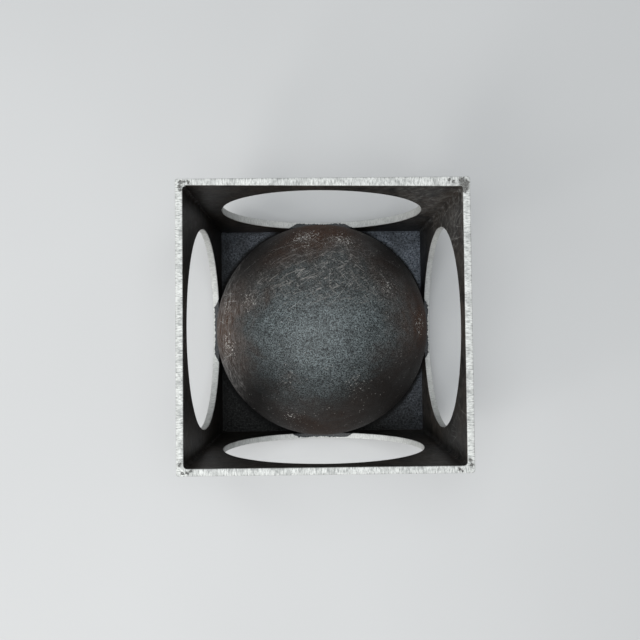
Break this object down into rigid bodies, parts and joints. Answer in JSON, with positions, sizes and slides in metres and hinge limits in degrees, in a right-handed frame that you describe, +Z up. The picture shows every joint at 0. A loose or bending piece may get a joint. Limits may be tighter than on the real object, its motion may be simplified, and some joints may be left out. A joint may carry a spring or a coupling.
{
  "type": "magnetic desk sculpture",
  "caption": "Square steel box, open at the top, with a large round window in each wall and a hollow steel ball held to its base by a pivoted magnet.",
  "frame": {"origin": "middle of the felt pad's underside, the bottom centre of the object", "axes": "+Z up through the open top, along the ball's pivot; -Y is the front"},
  "size_m": [0.127, 0.127, 0.1253],
  "materials": {
    "plate_steel": "satin",
    "weld_steel": "satin",
    "dome_steel": "satin",
    "felt": "matte",
    "plated_steel": "satin",
    "ferrite": "matte",
    "slide_plastic": "satin",
    "bronze": "satin"
  },
  "bodies": {
    "box": {"base_plate": "plate_steel", "wall_front": "plate_steel", "wall_back": "plate_steel", "wall_left": "plate_steel", "wall_right": "plate_steel", "base_weld_front": "weld_steel", "base_weld_back": "weld_steel", "base_weld_left": "weld_steel", "base_weld_right": "weld_steel", "corner_weld_front_left": "weld_steel", "corner_weld_front_right": "weld_steel", "corner_weld_back_left": "weld_steel", "corner_weld_back_right": "weld_steel", "felt_pad": "felt"},
    "magnet": {"magnet_cup": "plated_steel", "ferrite_ring": "ferrite", "pivot_bolt": "plated_steel", "thrust_washer": "slide_plastic", "nut_washer": "plated_steel", "lock_nut": "plated_steel"},
    "dome": {"dome_shell": "dome_steel", "dome_floor": "dome_steel", "pivot_bush": "bronze", "floor_lugs": "dome_steel", "floor_screws": "plated_steel"}
  },
  "joints": [
    {"name": "dome_lift", "type": "slide", "parent": "box", "child": "magnet", "axis": [0, 0, 1], "range_m": [0, 0.13]},
    {"name": "dome_spin", "type": "hinge", "parent": "magnet", "child": "dome", "pos_m": [0, 0, 0.02], "axis": [0, 0, 1], "continuous": true}
  ]
}
